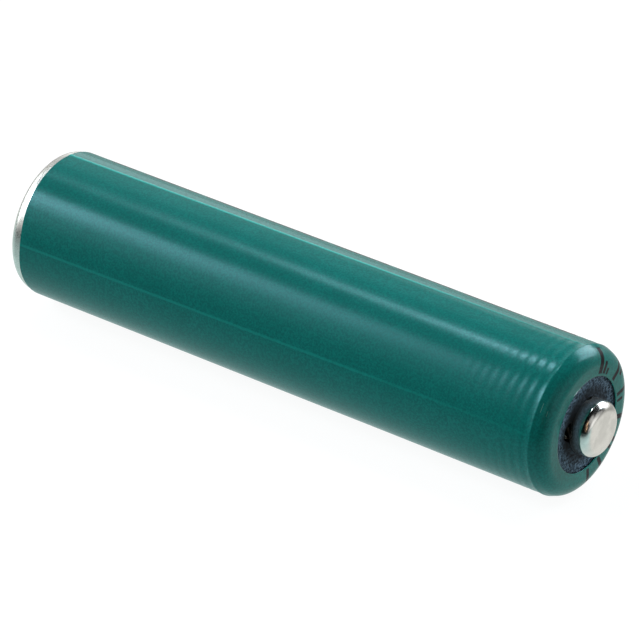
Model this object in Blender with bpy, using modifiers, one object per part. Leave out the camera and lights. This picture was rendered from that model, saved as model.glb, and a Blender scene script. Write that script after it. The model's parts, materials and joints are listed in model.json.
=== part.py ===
"""AAA-size (IEC HR03) cylindrical nickel-metal hydride cell, built from its separate pieces.

The cell lies on its side. Its axis is +X, the positive button points along +X, and the origin
is the centre of the flat negative contact face. Every piece is shaped along its own local Z and
hangs from the empty "cell_axis", which turns local +Z onto world +X.

From the outside in: a printed shrink sleeve and a fibre washer; a steel can, crimped over a
nylon gasket that holds the closure (cover, valve, spring and positive cap); and the roll of
electrodes and separators between two collector plates.
"""

from math import cos, pi, radians, sin

import bpy

COLLECTION = "cylindrical_battery_cell"
MM = 0.001  # every size below is in metres, written as millimetres

# Whole cell
CELL_LENGTH = 44.5 * MM
CELL_RADIUS = 5.10 * MM
FIT_GAP = 0.02 * MM  # left between pieces that touch in a real cell

# Shrink sleeve
SLEEVE_WALL = 0.10 * MM
SLEEVE_START = 0.85 * MM  # bare steel below this height
SLEEVE_SHOULDER = 1.11 * MM
SLEEVE_OPENING = 3.25 * MM

# Positive cap
BUTTON_RADIUS = 1.88 * MM
BUTTON_CORNER = 0.62 * MM
BUTTON_RISE = 1.30 * MM  # button top above the sleeve's end face
CAP_WALL = 0.25 * MM
CAP_FLANGE_RADIUS = 4.30 * MM
CAP_FILLET = 0.25 * MM
VENT_RADIUS = 0.45 * MM
VENT_TOP = 0.09 * MM  # top of the vent holes above the sleeve's end face
VENT_TURN = 173.5  # degrees, of the first vent hole about the cell's axis

# Fibre washer
WASHER_THICKNESS = 0.22 * MM
WASHER_BORE = 1.98 * MM
WASHER_RADIUS = 3.98 * MM

# Can
CAN_RADIUS = CELL_RADIUS - SLEEVE_WALL - FIT_GAP
CAN_WALL = 0.22 * MM
CAN_FLOOR = 0.35 * MM
CAN_CORNER = 0.65 * MM
CAN_FLOOR_CORNER = 0.40 * MM
CRIMP_CORNER = 0.95 * MM
CRIMP_OPENING = 3.55 * MM
GROOVE_DEPTH = 0.63 * MM
GROOVE_ROOT = 0.25 * MM  # radius of the groove's rounded root
GROOVE_LIP = 0.08 * MM

# Closure inside the crimp
GASKET_LEG = 0.26 * MM
GASKET_SIDE = 0.30 * MM
GASKET_INNER_CORNER = 0.15 * MM
GASKET_FOOT_CHAMFER = 0.14 * MM
GASKET_PROUD = 0.04 * MM  # its lips reach this far in past the crimp's edge
COVER_THICKNESS = 0.40 * MM
COVER_VENT_RADIUS = 0.50 * MM
COVER_CHAMFER = 0.10 * MM

# Resealable vent valve
SEAL_RADIUS = 1.10 * MM
SEAL_THICKNESS = 0.33 * MM
SEAL_EDGE = 0.08 * MM
PLATE_RADIUS = 1.25 * MM
PLATE_THICKNESS = 0.20 * MM
PLATE_BOSS_RADIUS = 0.62 * MM
PLATE_BOSS_RISE = 0.22 * MM
SPRING_WIRE = 0.20 * MM
SPRING_RADIUS = 0.95 * MM  # to the wire's centre line
SPRING_END_TURNS = 0.75
SPRING_ACTIVE_TURNS = 2.5
SPRING_END_PITCH = 0.24 * MM

# Electrode roll and what holds it
INSULATOR_RADIUS = 4.56 * MM
INSULATOR_THICKNESS = 0.35 * MM
INSULATOR_BORE = 3.10 * MM
COLLECTOR_THICKNESS = 0.20 * MM
COLLECTOR_RADIUS = 4.20 * MM
COLLECTOR_BORE = 0.80 * MM
COLLECTOR_HOLE_RADIUS = 0.45 * MM
COLLECTOR_HOLE_CIRCLE = 2.60 * MM
COLLECTOR_HOLES = 6
LEAD_WIDTH = 2.50 * MM
LEAD_THICKNESS = 0.10 * MM
LEAD_LEG = 0.95 * MM
LEAD_BEND_X = 1.90 * MM
ROLL_CORE_RADIUS = 1.00 * MM
ROLL_GAP = 0.025 * MM
ROLL_SHIFT = 0.28 * MM  # the spiral starts off centre, so that the roll fills the can evenly
ROLL_TURNS = 3.0
POSITIVE_TURNS = 2.0  # the other sheets go once more round the positive one
POSITIVE_SHEET = 0.58 * MM
SEPARATOR_SHEET = 0.08 * MM
ALLOY_SHEET = 0.10 * MM
NEGATIVE_CORE_SHEET = 0.06 * MM
EDGE_STRIP_SHEET = 0.08 * MM
EDGE_STRIP_RISE = 1.00 * MM
SEPARATOR_OVERHANG = 0.55 * MM  # separators stand this far past the coated height
BARE_CORE_RISE = 1.00 * MM  # uncoated negative core below the alloy

# Rounding of the turned shapes
ROUND_STEPS = 40
SMALL_ROUND_STEPS = 20
HOLE_STEPS = 16
ARC_STEPS = 4
FILLET_STEPS = 3
EDGE_STEPS = 2
WIRE_ROUNDING = 2  # of Blender's bevel round the spring's wire
ROLL_STEPS = 24  # facets in one turn of the roll
CLOSING_STEPS = 6  # over which the sheets close up past the end of the positive one
MERGE_DISTANCE = 0.001 * MM
SHARP_ANGLE = 35.0

# Heights along the axis, from the positive end inwards
FACE_HEIGHT = CELL_LENGTH - BUTTON_RISE
WASHER_BASE = FACE_HEIGHT - SLEEVE_WALL - FIT_GAP - WASHER_THICKNESS
CRIMP_HEIGHT = WASHER_BASE - FIT_GAP
GASKET_TOP = CRIMP_HEIGHT - CAN_WALL - FIT_GAP
FLANGE_TOP = GASKET_TOP - GASKET_LEG - FIT_GAP
FLANGE_BASE = FLANGE_TOP - CAP_WALL
COVER_TOP = FLANGE_BASE - FIT_GAP
COVER_BASE = COVER_TOP - COVER_THICKNESS
GASKET_BASE = COVER_BASE - FIT_GAP - GASKET_LEG
GROOVE_HEIGHT = GASKET_BASE - FIT_GAP - CAN_WALL - GROOVE_ROOT
INSULATOR_BASE = GROOVE_HEIGHT - GROOVE_ROOT - CAN_WALL - FIT_GAP - INSULATOR_THICKNESS
TOP_COLLECTOR_BASE = INSULATOR_BASE - FIT_GAP - COLLECTOR_THICKNESS
ROLL_TOP = TOP_COLLECTOR_BASE - FIT_GAP
COATED_TOP = ROLL_TOP - EDGE_STRIP_RISE
BOTTOM_COLLECTOR_BASE = CAN_FLOOR + FIT_GAP
ROLL_BASE = BOTTOM_COLLECTOR_BASE + COLLECTOR_THICKNESS + FIT_GAP
COATED_BASE = ROLL_BASE + BARE_CORE_RISE

# Radial room of the wound sheets without the positive one, with a gap beside each
BARE_BUNDLE = 2.0 * SEPARATOR_SHEET + 2.0 * ALLOY_SHEET + NEGATIVE_CORE_SHEET + 5.0 * ROLL_GAP

CAN_BORE = CAN_RADIUS - CAN_WALL
CRIMP_ARC_R = CAN_RADIUS - CRIMP_CORNER
CRIMP_ARC_Z = CRIMP_HEIGHT - CRIMP_CORNER


def clear_scene():
    """Remove every object and collection that the file holds."""
    for thing in list(bpy.data.objects):
        bpy.data.objects.remove(thing, do_unlink=True)
    for group in list(bpy.data.collections):
        bpy.data.collections.remove(group)


def new_collection(name):
    """Add a collection under the scene."""
    group = bpy.data.collections.new(name)
    bpy.context.scene.collection.children.link(group)
    return group


def principled(name, colour, roughness, metallic=0.0):
    """Make a Principled BSDF material."""
    material = bpy.data.materials.new(name)
    material.use_nodes = True
    shader = material.node_tree.nodes["Principled BSDF"]
    shader.inputs["Base Color"].default_value = (*colour, 1.0)
    shader.inputs["Roughness"].default_value = roughness
    shader.inputs["Metallic"].default_value = metallic
    material.diffuse_color = (*colour, 1.0)
    return material


def new_empty(name, parent, location):
    """Add an empty that pieces hang from."""
    empty = bpy.data.objects.new(name, None)
    empty.parent = parent
    empty.location = location
    bpy.data.collections[COLLECTION].objects.link(empty)
    return empty


def add_piece(name, data, material, parent, height=0.0):
    """Put mesh or curve data in the scene as a named piece at a height on the cell's axis."""
    piece = bpy.data.objects.new(name, data)
    piece.parent = parent
    piece.location.z = height
    data.materials.append(material)
    bpy.data.collections[COLLECTION].objects.link(piece)
    return piece


def settle(piece):
    """Apply the piece's modifiers and shade it smooth, except over its real corners."""
    graph = bpy.context.evaluated_depsgraph_get()
    mesh = bpy.data.meshes.new_from_object(piece.evaluated_get(graph))
    piece.modifiers.clear()
    piece.data = mesh
    mesh.shade_smooth()
    mesh.set_sharp_from_angle(angle=radians(SHARP_ANGLE))
    return piece


def arc(centre_r, centre_z, radius, start, end, steps=ARC_STEPS):
    """Points of an arc in the (r, z) plane, between two angles in degrees, ends included."""
    angles = [radians(start + (end - start) * step / steps) for step in range(steps + 1)]
    return [(centre_r + radius * cos(a), centre_z + radius * sin(a)) for a in angles]


def line_mesh(name, points, closed):
    """Make a mesh of points joined by edges."""
    count = len(points)
    edges = [(i, (i + 1) % count) for i in range(count if closed else count - 1)]
    mesh = bpy.data.meshes.new(name)
    mesh.from_pydata(points, edges, [])
    return mesh


def turned(name, outline, material, parent, height=0.0, steps=ROUND_STEPS):
    """Turn an (r, z) outline, listed down its outer side, about the axis.

    An outline that starts on the axis also ends on it. Any other is a closed ring section.
    """
    starts_on_axis = outline[0][0] == 0.0
    mesh = line_mesh(name, [(r, 0.0, z) for r, z in outline], closed=not starts_on_axis)
    piece = add_piece(name, mesh, material, parent, height)
    screw = piece.modifiers.new("turn", "SCREW")
    screw.axis = "Z"
    screw.steps = steps
    screw.render_steps = steps
    screw.use_merge_vertices = True
    screw.merge_threshold = MERGE_DISTANCE
    return piece


def flat_ring(name, bore, radius, thickness, material, parent, height):
    """A plain flat washer."""
    outline = [(bore, thickness), (radius, thickness), (radius, 0.0), (bore, 0.0)]
    return settle(turned(name, outline, material, parent, height))


def bent_sheet(name, path, width, thickness, material, parent, height=0.0):
    """Draw an (x, y) path out along local Z to a width, and thicken it about its middle."""
    mesh = line_mesh(name, [(x, y, 0.0) for x, y in path], closed=False)
    piece = add_piece(name, mesh, material, parent, height)
    draw = piece.modifiers.new("draw_out", "SCREW")
    draw.axis = "Z"
    draw.angle = 0.0
    draw.screw_offset = width
    draw.steps = EDGE_STEPS
    draw.render_steps = EDGE_STEPS
    thicken = piece.modifiers.new("thicken", "SOLIDIFY")
    thicken.thickness = thickness
    thicken.offset = 0.0
    thicken.use_even_offset = True
    return settle(piece)


def shrink_sleeve(parent):
    """PVC sleeve, shrunk over the can's shoulder and the edge of the washer."""
    material = principled("teal_pvc", (0.012, 0.125, 0.115), 0.28)
    bore = CELL_RADIUS - SLEEVE_WALL
    arc_r = CELL_RADIUS - SLEEVE_SHOULDER
    arc_z = FACE_HEIGHT - SLEEVE_SHOULDER
    outline = [(SLEEVE_OPENING, FACE_HEIGHT)]
    outline += arc(arc_r, arc_z, SLEEVE_SHOULDER, 90, 0)
    outline += [(CELL_RADIUS, SLEEVE_START), (bore, SLEEVE_START)]
    outline += arc(arc_r, arc_z, SLEEVE_SHOULDER - SLEEVE_WALL, 0, 90)
    outline += [(SLEEVE_OPENING, FACE_HEIGHT - SLEEVE_WALL)]
    settle(turned("shrink_sleeve", outline, material, parent))


def fibre_washer(parent):
    """Insulating washer on the crimp, round the foot of the button."""
    material = principled("navy_fibre", (0.020, 0.024, 0.036), 0.85)
    flat_ring("fibre_washer", WASHER_BORE, WASHER_RADIUS, WASHER_THICKNESS, material, parent,
              WASHER_BASE)


def vent_cutter(name, turn, parent, collection):
    """Bar across the button that opens two facing vent holes through its wall."""
    bpy.ops.mesh.primitive_cylinder_add(
        vertices=HOLE_STEPS, radius=VENT_RADIUS, depth=2.0 * (BUTTON_RADIUS + 2.0 * CAP_FILLET))
    cutter = bpy.context.object
    cutter.name = name
    bpy.context.scene.collection.objects.unlink(cutter)
    collection.objects.link(cutter)
    cutter.parent = parent
    cutter.location.z = FACE_HEIGHT + VENT_TOP - VENT_RADIUS
    cutter.rotation_euler = (0.0, radians(90.0), radians(turn + 90.0))
    cutter.hide_render = True
    cutter.display_type = "WIRE"
    return cutter


def positive_cap(parent, collection):
    """Drawn steel cap: a button with vent holes round its foot, on a flange."""
    material = principled("cap_nickel", (0.62, 0.60, 0.57), 0.18, 1.0)
    button_z = CELL_LENGTH - BUTTON_CORNER
    button_r = BUTTON_RADIUS - BUTTON_CORNER
    fillet_r = BUTTON_RADIUS + CAP_FILLET
    fillet_z = FLANGE_TOP + CAP_FILLET
    outline = [(0.0, CELL_LENGTH)]
    outline += arc(button_r, button_z, BUTTON_CORNER, 90, 0)
    outline += arc(fillet_r, fillet_z, CAP_FILLET, 180, 270, FILLET_STEPS)
    outline += [(CAP_FLANGE_RADIUS, FLANGE_TOP), (CAP_FLANGE_RADIUS, FLANGE_BASE)]
    outline += arc(fillet_r, fillet_z, CAP_FILLET + CAP_WALL, 270, 180, FILLET_STEPS)
    outline += arc(button_r, button_z, BUTTON_CORNER - CAP_WALL, 0, 90)
    outline += [(0.0, CELL_LENGTH - CAP_WALL)]
    cap = turned("positive_cap", outline, material, parent)
    for index in range(2):
        cutter = vent_cutter(f"vent_bar_{index + 1}", VENT_TURN + 90.0 * index, parent, collection)
        cut = cap.modifiers.new(f"vents_{index + 1}", "BOOLEAN")
        cut.operation = "DIFFERENCE"
        cut.solver = "EXACT"
        cut.object = cutter
    bpy.context.view_layer.update()
    settle(cap)


def sealing_cover(parent):
    """Steel plate that closes the cell, with the vent hole that the valve sits on."""
    material = principled("cover_steel", (0.55, 0.54, 0.52), 0.30, 1.0)
    radius = CAN_BORE - FIT_GAP - GASKET_SIDE - FIT_GAP
    top = COVER_THICKNESS
    outline = [
        (COVER_VENT_RADIUS, top),
        (radius - COVER_CHAMFER, top),
        (radius, top - COVER_CHAMFER),
        (radius, COVER_CHAMFER),
        (radius - COVER_CHAMFER, 0.0),
        (COVER_VENT_RADIUS, 0.0),
    ]
    settle(turned("sealing_cover", outline, material, parent, COVER_BASE))


def insulating_gasket(parent):
    """Nylon ring folded round the rim of the cover and the cap's flange."""
    material = principled("nylon_black", (0.030, 0.030, 0.032), 0.50)
    outer = CAN_BORE - FIT_GAP
    pocket = outer - GASKET_SIDE
    pocket_top = GASKET_TOP - GASKET_LEG
    inner_edge = CRIMP_OPENING - GASKET_PROUD
    outline = [(inner_edge, GASKET_TOP)]
    outline += arc(CRIMP_ARC_R, CRIMP_ARC_Z, outer - CRIMP_ARC_R, 90, 0)
    outline += [(outer, GASKET_BASE + GASKET_FOOT_CHAMFER)]
    outline += [(outer - GASKET_FOOT_CHAMFER, GASKET_BASE), (inner_edge, GASKET_BASE)]
    outline += [(inner_edge, GASKET_BASE + GASKET_LEG), (pocket, GASKET_BASE + GASKET_LEG)]
    outline += arc(pocket - GASKET_INNER_CORNER, pocket_top - GASKET_INNER_CORNER,
                   GASKET_INNER_CORNER, 0, 90, EDGE_STEPS)
    outline += [(inner_edge, pocket_top)]
    settle(turned("insulating_gasket", outline, material, parent))


def cell_can(parent):
    """Drawn steel can: flat negative end, groove under the gasket, edge crimped inwards."""
    material = principled("can_nickel", (0.60, 0.59, 0.57), 0.25, 1.0)
    root_r = CAN_RADIUS - GROOVE_DEPTH + GROOVE_ROOT
    inner_root = GROOVE_ROOT + CAN_WALL
    inner_corner = CAN_FLOOR_CORNER

    outline = [(0.0, CAN_FLOOR)]
    outline += arc(CAN_BORE - inner_corner, CAN_FLOOR + inner_corner, inner_corner, 270, 360)
    outline += [(CAN_BORE, GROOVE_HEIGHT - inner_root - GROOVE_LIP)]
    outline += arc(root_r, GROOVE_HEIGHT, inner_root, 270, 90, steps=2 * ARC_STEPS)
    outline += [(CAN_BORE, GROOVE_HEIGHT + inner_root + GROOVE_LIP)]
    outline += arc(CRIMP_ARC_R, CRIMP_ARC_Z, CAN_BORE - CRIMP_ARC_R, 0, 90)
    outline += [(CRIMP_OPENING, CRIMP_HEIGHT - CAN_WALL), (CRIMP_OPENING, CRIMP_HEIGHT)]
    outline += arc(CRIMP_ARC_R, CRIMP_ARC_Z, CRIMP_CORNER, 90, 0)
    outline += [(CAN_RADIUS, GROOVE_HEIGHT + GROOVE_ROOT + GROOVE_LIP)]
    outline += arc(root_r, GROOVE_HEIGHT, GROOVE_ROOT, 90, 270, steps=2 * ARC_STEPS)
    outline += [(CAN_RADIUS, GROOVE_HEIGHT - GROOVE_ROOT - GROOVE_LIP)]
    outline += arc(CAN_RADIUS - CAN_CORNER, CAN_CORNER, CAN_CORNER, 0, -90)
    outline += [(0.0, 0.0)]
    settle(turned("cell_can", outline, material, parent))


def valve_seal(parent):
    """Rubber disc that closes the vent hole."""
    material = principled("seal_rubber", (0.015, 0.015, 0.015), 0.75)
    outline = [(0.0, SEAL_THICKNESS)]
    edge_r = SEAL_RADIUS - SEAL_EDGE
    outline += arc(edge_r, SEAL_THICKNESS - SEAL_EDGE, SEAL_EDGE, 90, 0, EDGE_STEPS)
    outline += arc(edge_r, SEAL_EDGE, SEAL_EDGE, 0, -90, EDGE_STEPS)
    outline += [(0.0, 0.0)]
    settle(turned("vent_valve_seal", outline, material, parent, steps=SMALL_ROUND_STEPS))


def valve_plate(parent):
    """Steel plate on the rubber disc, with a boss that centres the spring."""
    material = principled("valve_steel", (0.56, 0.55, 0.53), 0.30, 1.0)
    boss_top = PLATE_THICKNESS + PLATE_BOSS_RISE
    outline = [
        (0.0, boss_top),
        (PLATE_BOSS_RADIUS - COVER_CHAMFER, boss_top),
        (PLATE_BOSS_RADIUS, boss_top - COVER_CHAMFER),
        (PLATE_BOSS_RADIUS, PLATE_THICKNESS),
        (PLATE_RADIUS, PLATE_THICKNESS),
        (PLATE_RADIUS, 0.0),
        (0.0, 0.0),
    ]
    height = SEAL_THICKNESS + FIT_GAP
    settle(turned("vent_valve_plate", outline, material, parent, height, SMALL_ROUND_STEPS))


def vent_spring(parent):
    """Coil spring between the valve plate and the inside of the button, with close end turns."""
    material = principled("spring_steel", (0.42, 0.42, 0.43), 0.28, 1.0)
    base = COVER_TOP + FIT_GAP + SEAL_THICKNESS + FIT_GAP + PLATE_THICKNESS + FIT_GAP
    room = CELL_LENGTH - CAP_WALL - FIT_GAP - base - SPRING_WIRE
    end_rise = SPRING_END_TURNS * SPRING_END_PITCH
    active_pitch = (room - 2.0 * end_rise) / SPRING_ACTIVE_TURNS
    turns = 2.0 * SPRING_END_TURNS + SPRING_ACTIVE_TURNS

    curve = bpy.data.curves.new("vent_spring", "CURVE")
    curve.dimensions = "3D"
    curve.bevel_depth = SPRING_WIRE / 2.0
    curve.bevel_resolution = WIRE_ROUNDING
    curve.use_fill_caps = True
    spline = curve.splines.new("POLY")
    count = round(turns * SMALL_ROUND_STEPS)
    spline.points.add(count)
    for index, point in enumerate(spline.points):
        turn = index / SMALL_ROUND_STEPS
        in_active = min(max(turn - SPRING_END_TURNS, 0.0), SPRING_ACTIVE_TURNS)
        rise = in_active * active_pitch + (turn - in_active) * SPRING_END_PITCH
        angle = 2.0 * pi * turn
        point.co = (SPRING_RADIUS * cos(angle), SPRING_RADIUS * sin(angle), rise, 1.0)
    add_piece("vent_spring", curve, material, parent, base + SPRING_WIRE / 2.0)


def upper_insulator(parent):
    """Plastic ring that keeps the top collector off the can's groove."""
    material = principled("insulator_white", (0.62, 0.61, 0.57), 0.55)
    flat_ring("upper_insulator", INSULATOR_BORE, INSULATOR_RADIUS, INSULATOR_THICKNESS,
              material, parent, INSULATOR_BASE)


def circle(centre_x, centre_y, radius, steps):
    """Points round a circle in the (x, y) plane."""
    angles = [2.0 * pi * step / steps for step in range(steps)]
    return [(centre_x + radius * cos(a), centre_y + radius * sin(a)) for a in angles]


def collector_plate(name, material, parent, height):
    """Nickel disc with a centre hole and a ring of holes, welded to one end of the roll."""
    loops = [circle(0.0, 0.0, COLLECTOR_RADIUS, ROUND_STEPS)]
    loops.append(circle(0.0, 0.0, COLLECTOR_BORE, SMALL_ROUND_STEPS))
    for index in range(COLLECTOR_HOLES):
        angle = 2.0 * pi * (index + 0.5) / COLLECTOR_HOLES
        x = COLLECTOR_HOLE_CIRCLE * cos(angle)
        y = COLLECTOR_HOLE_CIRCLE * sin(angle)
        loops.append(circle(x, y, COLLECTOR_HOLE_RADIUS, SMALL_ROUND_STEPS // 2))

    curve = bpy.data.curves.new(name, "CURVE")
    curve.dimensions = "2D"
    curve.fill_mode = "BOTH"
    curve.extrude = COLLECTOR_THICKNESS / 2.0
    for loop in loops:
        spline = curve.splines.new("POLY")
        spline.points.add(len(loop) - 1)
        spline.use_cyclic_u = True
        for point, (x, y) in zip(spline.points, loop):
            point.co = (x, y, 0.0, 1.0)
    add_piece(name, curve, material, parent, height + COLLECTOR_THICKNESS / 2.0)


def positive_lead(material, parent):
    """C-shaped nickel strip from the top collector up to the cover."""
    low = TOP_COLLECTOR_BASE + COLLECTOR_THICKNESS + FIT_GAP + LEAD_THICKNESS / 2.0
    high = COVER_BASE - FIT_GAP - LEAD_THICKNESS / 2.0
    bend = (high - low) / 2.0
    path = [(LEAD_BEND_X - LEAD_LEG, -bend)]
    path += arc(LEAD_BEND_X, 0.0, bend, -90, 90, steps=2 * ARC_STEPS)
    path += [(LEAD_BEND_X - LEAD_LEG, bend)]
    lead = bent_sheet("positive_lead", path, LEAD_WIDTH, LEAD_THICKNESS, material, parent,
                      (high + low) / 2.0)
    lead.rotation_euler.x = radians(90.0)
    lead.location.y = LEAD_WIDTH / 2.0


def positive_room(step):
    """Radial room of the positive sheet, easing to nothing past its end as the others close up."""
    past_end = max(step - POSITIVE_TURNS * ROLL_STEPS, 0.0) / CLOSING_STEPS
    return (POSITIVE_SHEET + ROLL_GAP) * max(1.0 - past_end, 0.0)


def winding_radius(step):
    """Radius of the inside of the wound bundle at a step, which lies on the turn beneath it."""
    if step < ROLL_STEPS:
        return ROLL_CORE_RADIUS + (BARE_BUNDLE + positive_room(0)) * step / ROLL_STEPS
    beneath = step - ROLL_STEPS
    return winding_radius(beneath) + BARE_BUNDLE + positive_room(beneath)


def rolled_sheet(name, depth, thickness, turns, heights, outside_positive, material, parent):
    """One sheet of the roll, whose middle lies at a depth in the bundle, between two heights."""
    path = []
    for step in range(round(turns * ROLL_STEPS) + 1):
        radius = winding_radius(step) + depth
        if outside_positive:
            radius += positive_room(step)
        angle = 2.0 * pi * step / ROLL_STEPS
        path.append((radius * cos(angle), radius * sin(angle)))
    low, high = heights
    bent_sheet(name, path, high - low, thickness, material, parent, low)


def electrode_roll(nickel, parent):
    """Positive and negative sheets wound together with a separator on each side."""
    roll_axis = new_empty("roll_axis", parent, (-ROLL_SHIFT, ROLL_SHIFT, 0.0))
    separator = principled("separator_felt", (0.70, 0.70, 0.66), 0.90)
    positive = principled("nickel_hydroxide", (0.035, 0.055, 0.040), 0.85)
    alloy = principled("hydride_alloy", (0.060, 0.060, 0.062), 0.75)
    coated = (COATED_BASE, COATED_TOP)
    spaced = (COATED_BASE - SEPARATOR_OVERHANG, COATED_TOP + SEPARATOR_OVERHANG)

    depth = SEPARATOR_SHEET + ROLL_GAP + POSITIVE_SHEET / 2.0
    rolled_sheet("positive_electrode", depth, POSITIVE_SHEET, POSITIVE_TURNS, coated, False,
                 positive, roll_axis)
    strip = (COATED_TOP + FIT_GAP, ROLL_TOP)
    rolled_sheet("positive_edge_strip", depth, EDGE_STRIP_SHEET, POSITIVE_TURNS, strip, False,
                 nickel, roll_axis)

    inner_face = 0.0
    for name, thickness, heights, material in (
        ("inner_separator", SEPARATOR_SHEET, spaced, separator),
        ("outer_separator", SEPARATOR_SHEET, spaced, separator),
        ("negative_alloy_inner", ALLOY_SHEET, coated, alloy),
        ("negative_core", NEGATIVE_CORE_SHEET, (ROLL_BASE, COATED_TOP), nickel),
        ("negative_alloy_outer", ALLOY_SHEET, coated, alloy),
    ):
        rolled_sheet(name, inner_face + thickness / 2.0, thickness, ROLL_TURNS, heights,
                     name != "inner_separator", material, roll_axis)
        inner_face += thickness + ROLL_GAP


def build():
    """Build the whole cell."""
    clear_scene()
    new_collection(COLLECTION)
    cutters = new_collection("cutters")

    cell_axis = new_empty("cell_axis", None, (0.0, 0.0, 0.0))
    cell_axis.rotation_euler.y = radians(90.0)
    valve_axis = new_empty("vent_valve_axis", cell_axis, (0.0, 0.0, COVER_TOP + FIT_GAP))
    bpy.context.view_layer.update()

    shrink_sleeve(cell_axis)
    fibre_washer(cell_axis)
    positive_cap(cell_axis, cutters)
    vent_spring(cell_axis)
    valve_plate(valve_axis)
    valve_seal(valve_axis)
    sealing_cover(cell_axis)
    insulating_gasket(cell_axis)
    cell_can(cell_axis)

    nickel = principled("nickel_strip", (0.60, 0.59, 0.56), 0.32, 1.0)
    upper_insulator(cell_axis)
    positive_lead(nickel, cell_axis)
    collector_plate("positive_collector", nickel, cell_axis, TOP_COLLECTOR_BASE)
    electrode_roll(nickel, cell_axis)
    collector_plate("negative_collector", nickel, cell_axis, BOTTOM_COLLECTOR_BASE)


build()
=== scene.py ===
"""Looks of a small cylindrical rechargeable cell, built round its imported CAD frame.

The cell lies along +X with the centre of its flat negative face at the origin. The pieces that
show, and the closure behind the vent holes, are made here as fine turned meshes. The other CAD
nodes keep their shape and get a material. A "turn" is an angle round the cell's axis, measured
from +Y towards +Z. Lengths are in metres, written as millimetres.
"""

import json
from math import atan2, cos, degrees, pi, radians, sin, tau

import bmesh
import bpy
import numpy as np
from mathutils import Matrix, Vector

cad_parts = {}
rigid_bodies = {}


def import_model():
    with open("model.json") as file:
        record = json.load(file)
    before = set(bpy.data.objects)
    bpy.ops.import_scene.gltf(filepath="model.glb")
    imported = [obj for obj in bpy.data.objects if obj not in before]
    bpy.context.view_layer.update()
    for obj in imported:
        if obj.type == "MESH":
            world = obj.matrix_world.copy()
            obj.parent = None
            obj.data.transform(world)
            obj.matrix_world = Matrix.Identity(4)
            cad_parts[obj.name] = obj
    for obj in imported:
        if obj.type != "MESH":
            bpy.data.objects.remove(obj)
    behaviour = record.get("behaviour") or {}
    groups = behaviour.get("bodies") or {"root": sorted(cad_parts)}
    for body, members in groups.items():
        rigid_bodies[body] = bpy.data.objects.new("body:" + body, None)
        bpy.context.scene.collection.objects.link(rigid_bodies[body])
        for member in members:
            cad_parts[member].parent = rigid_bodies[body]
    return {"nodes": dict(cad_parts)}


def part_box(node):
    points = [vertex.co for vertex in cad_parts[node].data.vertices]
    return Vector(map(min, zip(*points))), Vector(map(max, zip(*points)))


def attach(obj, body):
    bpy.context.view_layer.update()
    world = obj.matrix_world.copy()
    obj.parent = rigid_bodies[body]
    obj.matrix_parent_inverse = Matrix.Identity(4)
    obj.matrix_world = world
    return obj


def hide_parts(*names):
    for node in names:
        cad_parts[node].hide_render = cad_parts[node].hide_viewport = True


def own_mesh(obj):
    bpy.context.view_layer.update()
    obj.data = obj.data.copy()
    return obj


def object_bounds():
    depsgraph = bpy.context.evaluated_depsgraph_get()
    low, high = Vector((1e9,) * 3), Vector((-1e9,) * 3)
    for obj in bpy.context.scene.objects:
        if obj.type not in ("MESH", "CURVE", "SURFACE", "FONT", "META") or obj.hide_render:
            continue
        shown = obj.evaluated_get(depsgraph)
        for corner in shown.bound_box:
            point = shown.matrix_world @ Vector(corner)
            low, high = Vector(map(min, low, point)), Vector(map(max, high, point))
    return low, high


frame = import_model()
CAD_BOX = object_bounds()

MM = 0.001

# Sleeve, beyond what the CAD gives
SLEEVE_ROOM = 0.034 * MM  # left under the CAD surface for the relief
SLEEVE_LIP = 0.04 * MM  # rounding of its cut edges
SHOULDER = 1.11 * MM
EDGE_BITE = 0.18 * MM  # the lower edge is cut back this far at one side
EDGE_BITE_TURN = 170.0
EDGE_BITE_WIDTH = 25.0
SLEEVE_TWIST = -0.14 / MM  # degrees of turn along the cell, seen in the folds
FOLD_TURNS = (82.3, 262.3)  # the flat tube's two folds, at the negative end
PRESS_TURNS = (171.3, 351.3)  # fainter folds a quarter turn on
FOLD_HEIGHT = 0.013 * MM
FOLD_WIDTH = 0.13 * MM
PRESS_HEIGHT = 0.004 * MM
PRESS_WIDTH = 0.10 * MM
RIPPLE_HEIGHT = 0.0075 * MM
RIPPLE_PITCH = 0.70 * MM
RIPPLE_REACH = 2.6 * MM  # how fast the ripples die away from the shoulder
CREST_PLACE = 0.08 * MM  # past the start of the shoulder
CREST_HEIGHT = 0.023 * MM
CREST_WIDTH = 0.10 * MM
DIP_PLACE = 0.38 * MM
DIP_DEPTH = 0.017 * MM
DIP_WIDTH = 0.20 * MM
SWELL_HEIGHT = 0.004 * MM
FINE_RUN = 8.0 * MM  # before the shoulder, where the mesh is fine enough for the ripples
FINE_STEP = 0.05 * MM
COARSE_STEP = 0.40 * MM

# Button cap
BUTTON_CORNER = 0.62 * MM
CAP_WALL = 0.25 * MM
CAP_FILLET = 0.25 * MM
VENT_RADIUS = 0.45 * MM
VENT_TURN = 173.5
VENT_TOP = 0.09 * MM  # top of the vent holes above the sleeve's end face

# Washer, pressed down at its rim by the sleeve and lifted at its bore by the button's fillet
WASHER_BORE = 1.888 * MM
WASHER_SPARE = 0.04 * MM  # thinner than its CAD room at each face, so that it can lean in it
WASHER_EDGE = 0.03 * MM
WASHER_ROUGHNESS = 0.004 * MM
WASHER_LEAN_TURN = 323.0  # it dips towards this side
WASHER_LEAN = 1.2  # degrees
WASHER_DISH = 0.07 * MM
WASHER_DISH_REACH = 0.30 * MM
WASHER_NOTCH = 0.50 * MM  # torn edge beside one vent hole
WASHER_NOTCH_TURN = 169.0
WASHER_NOTCH_WIDTH = 18.0  # degrees

# Can
CAN_WALL = 0.22 * MM
CAN_FLOOR = 0.35 * MM
CAN_CORNER = 0.65 * MM
CRIMP_CORNER = 0.95 * MM
GROOVE_DEPTH = 0.63 * MM
GROOVE_HEIGHT = 40.88 * MM
GROOVE_HALF = 0.49 * MM

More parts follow.
